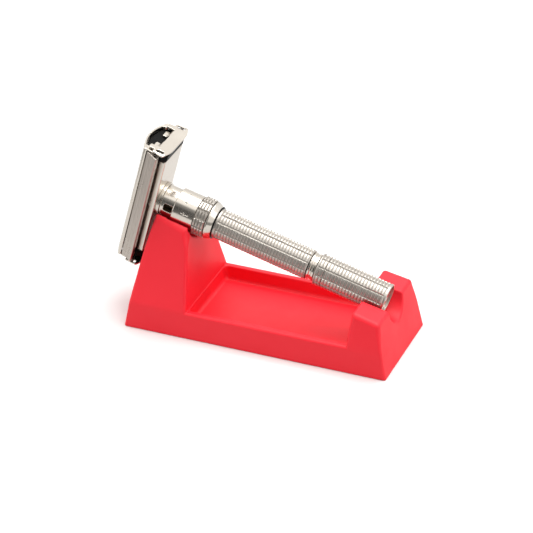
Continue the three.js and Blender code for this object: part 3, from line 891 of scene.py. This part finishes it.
def channel_field(u, v, s):
    """A channel open towards the doors, bored for the neck's stem."""
    outside = both(between(v, -7.2, 7.2), between(s, 83.4, 86.6), 0.5)
    inside = both(np.abs(v) - 6.6, 84.0 - s, 0.3)
    body = both(without(outside, inside, 0.12), np.abs(u) - 18.6, 0.25)
    return without(body, np.hypot(u, v) - 3.3, 0.1)


def platform_field(u, v, s):
    """The arched bed of the blade, with its long slot, two pegs and scalloped sides."""
    arch = (8.0 ** 2 + 1.4 ** 2) / (2 * 1.4)
    top = np.hypot(v, s - (90.9 - arch)) - arch
    body = both(both(top, 88.6 - s, 0.2), np.abs(v) - 8, 0.25)
    body = both(body, np.abs(u) - 16, 0.3)
    body = without(body, both(np.abs(u) - 12.5, np.abs(v) - 1.7, 0.5), 0.15)
    peg = both(np.hypot(np.abs(u) - 14.3, v) - 0.8, between(s, 89.9, 91.5), 0.25)
    scallop = np.hypot(np.abs(u) - 6.0, np.abs(v) - 9.6) - 2.2
    return either(without(body, scallop, 0.15), peg, 0.1)


carved("base_channel", channel_field, 0.25, NICKEL, margin=np.array([2.8, 0.2, 0.2]))
carved("blade_platform", platform_field, 0.24, NICKEL)


def bridge_field(u, v, s):
    """The plate that carries both guard bars, with the rod's hole."""
    body = block(u, v, s, (-16, -8.95, 87.6), (16, 8.95, 88.2), 0.15)
    return without(body, np.hypot(u, v) - 2.0, 0.1)


def lifter_field(u, v, s):
    """The bar on the rod that spreads the doors."""
    rounded_ends = np.hypot(np.maximum(np.abs(u) - 11.2, 0), v) - 1.2
    return both(block(u, v, s, (-12.4, -1.2, 91.3), (12.4, 1.2, 92.2), 0.2), rounded_ends, 0.15)


carved("guard_bridge", bridge_field, 0.22, NICKEL)
carved("door_lifter", lifter_field, 0.16, NICKEL)

# ---------------------------------------------------------------- inside
SPRING = {"inset": 0.34, "radius": 2.4, "wire": 0.32, "turns": 5.0}
low, high, _ = length_and_radius("tension_spring")
points, faces = grown(COIL, {
    "Start": (low + SPRING["inset"]) * MM, "Height": (high - low - 2 * SPRING["inset"]) * MM,
    "Coil Radius": SPRING["radius"] * MM, "Wire Radius": SPRING["wire"] * MM, "Turns": SPRING["turns"],
    "Finish": STEEL})
finished("tension_spring", points, faces, STEEL, crease=50)

for name, cad in NODES.items():
    if not cad.hide_render:
        shown = BLACKENED if name == "guard_plunger" else FINISHES[SLOT_OF.get(name, "nickel")]
        cad.data.materials.clear()
        cad.data.materials.append(shown)

# ---------------------------------------------------------------- camera
CAMERA = {"azimuth": 23.284, "elevation": 31.507, "roll": -1.284, "distance": 0.904757,
          "target": (-0.002153, 0.0, 0.022692), "lens": 183.2, "sensor": 36.0, "clip": (0.01, 50.0)}


def place_camera():
    azimuth, elevation, roll = (math.radians(CAMERA[k]) for k in ("azimuth", "elevation", "roll"))
    back = Vector((math.sin(azimuth) * math.cos(elevation), -math.cos(azimuth) * math.cos(elevation),
                   math.sin(elevation)))
    right = Vector((math.cos(azimuth), math.sin(azimuth), 0.0))
    up = back.cross(right)
    rolled_right = math.cos(roll) * right + math.sin(roll) * up
    rolled_up = math.cos(roll) * up - math.sin(roll) * right
    lens = bpy.data.cameras.new("studio_camera")
    lens.lens, lens.sensor_width = CAMERA["lens"], CAMERA["sensor"]
    lens.clip_start, lens.clip_end = CAMERA["clip"]
    holder = bpy.data.objects.new("studio_camera", lens)
    turn = Matrix((rolled_right, rolled_up, back)).transposed().to_4x4()
    holder.matrix_world = Matrix.Translation(Vector(CAMERA["target"]) + back * CAMERA["distance"]) @ turn
    bpy.context.scene.collection.objects.link(holder)
    bpy.context.scene.camera = holder


place_camera()


# ---------------------------------------------------------------- studio
def floor_finish():
    """A matt white table, which throws less light back onto the object than the camera sees."""
    made = bpy.data.materials.new("white_table")
    made.use_nodes = True
    tree = made.node_tree
    shader = tree.nodes["Principled BSDF"]
    place = add(tree, "ShaderNodeTexCoord").outputs["Object"]
    soft = group(tree, GRAIN, {"Vector": place, "Fine Scale": 900.0, "Tone Scale": 3.0})
    tint = mixed(tree, soft["Tone"], (0.8, 0.8, 0.8, 1.0), (0.78, 0.78, 0.78, 1.0))
    seen = add(tree, "ShaderNodeLightPath").outputs["Is Camera Ray"]
    lit = mixed(tree, seen, (0.56, 0.56, 0.56, 1.0), tint)
    tree.links.new(lit, shader.inputs["Base Color"])
    shader.inputs["Roughness"].default_value = 0.7
    shader.inputs["Specular IOR Level"].default_value = 0.2
    return made


AWAY = Vector((-math.sin(math.radians(CAMERA["azimuth"])), math.cos(math.radians(CAMERA["azimuth"]))))
RIGHT = Vector((AWAY.y, -AWAY.x))
SHEET = {"near": -0.13, "far": 1.3, "left": -0.15, "right": 1.1, "height": -0.00002}


def lay_floor():
    mesh = bpy.data.meshes.new("table")
    ring = [AWAY * SHEET[a] + RIGHT * SHEET[b]
            for a, b in (("near", "left"), ("near", "right"), ("far", "right"), ("far", "left"))]
    mesh.from_pydata([(p.x, p.y, SHEET["height"]) for p in ring], [], [(0, 1, 2, 3)])
    mesh.materials.append(floor_finish())
    table = bpy.data.objects.new("table", mesh)
    bpy.context.scene.collection.objects.link(table)


lay_floor()


LIT_POINT = Vector((0, 0, 0.02))


def area_light(name, place, size, watts):
    lamp = bpy.data.lights.new(name, "AREA")
    lamp.shape, lamp.size, lamp.energy = "DISK", size, watts
    holder = bpy.data.objects.new(name, lamp)
    holder.location = place
    holder.rotation_euler = (LIT_POINT - Vector(place)).to_track_quat("-Z", "Y").to_euler()
    bpy.context.scene.collection.objects.link(holder)


area_light("overhead_softbox", (0.1, 0.25, 1.15), 1.0, 9.5)
area_light("left_softbox", (-0.85, -0.95, 0.4), 1.2, 3.0)
area_light("right_softbox", (1.0, -0.1, 0.55), 0.7, 1.2)

WORLD = {"level": 0.93, "overhead": 1.35, "dark": 0.07, "dark_top": 0.34, "under_front": 0.3,
         "under_back": 0.85}


def studio_world():
    """White surroundings with a dim opening on the camera's side, and pure white behind the object."""
    world = bpy.data.worlds.new("studio")
    bpy.context.scene.world = world
    world.use_nodes = True
    tree = world.node_tree
    tree.nodes.clear()
    facing = add(tree, "ShaderNodeTexCoord").outputs["Generated"]
    x, y, z = add(tree, "ShaderNodeSeparateXYZ", {0: facing}).outputs

    def ramp(value, start, end, low=0.0, high=1.0):
        return ranged(tree, value, start, end, low, high, interpolation_type="SMOOTHSTEP")

    sky = ramp(z, 0.25, 0.95, WORLD["level"], WORLD["overhead"])
    below_top = ramp(z, 0.84, 0.70)
    above_table = ramp(z, -0.45, 0.12)
    in_front = ramp(y, -0.25, -0.5)
    within = ramp(maths(tree, "ABSOLUTE", maths(tree, "ADD", x, 0.03)), 0.62, 0.3)
    opening = maths(tree, "MULTIPLY", maths(tree, "MULTIPLY", below_top, above_table),
                    maths(tree, "MULTIPLY", in_front, within))
    upper_glow = ramp(z, 0.35, 0.75, WORLD["dark"], WORLD["dark_top"])
    forward = maths(tree, "ADD", maths(tree, "MULTIPLY", x, AWAY.x), maths(tree, "MULTIPLY", y, AWAY.y))
    under = ramp(forward, -0.5, 0.7, WORLD["under_front"], WORLD["under_back"])
    beyond = add(tree, "ShaderNodeMix", {0: ramp(z, 0.06, -0.05), 2: sky, 3: under}, data_type="FLOAT")
    level = add(tree, "ShaderNodeMix", {0: opening, 2: beyond.outputs[0], 3: upper_glow}, data_type="FLOAT")
    around = add(tree, "ShaderNodeBackground", {"Color": (1.0, 0.985, 0.965, 1.0),
                                                "Strength": level.outputs[0]})
    behind = add(tree, "ShaderNodeBackground", {"Color": (1.0, 1.0, 1.0, 1.0), "Strength": 1.0})
    seen = add(tree, "ShaderNodeLightPath").outputs["Is Camera Ray"]
    chosen = add(tree, "ShaderNodeMixShader", {0: seen, 1: around.outputs[0], 2: behind.outputs[0]})
    add(tree, "ShaderNodeOutputWorld", {"Surface": chosen.outputs[0]})


studio_world()
bpy.context.scene.view_settings.view_transform = "Standard"
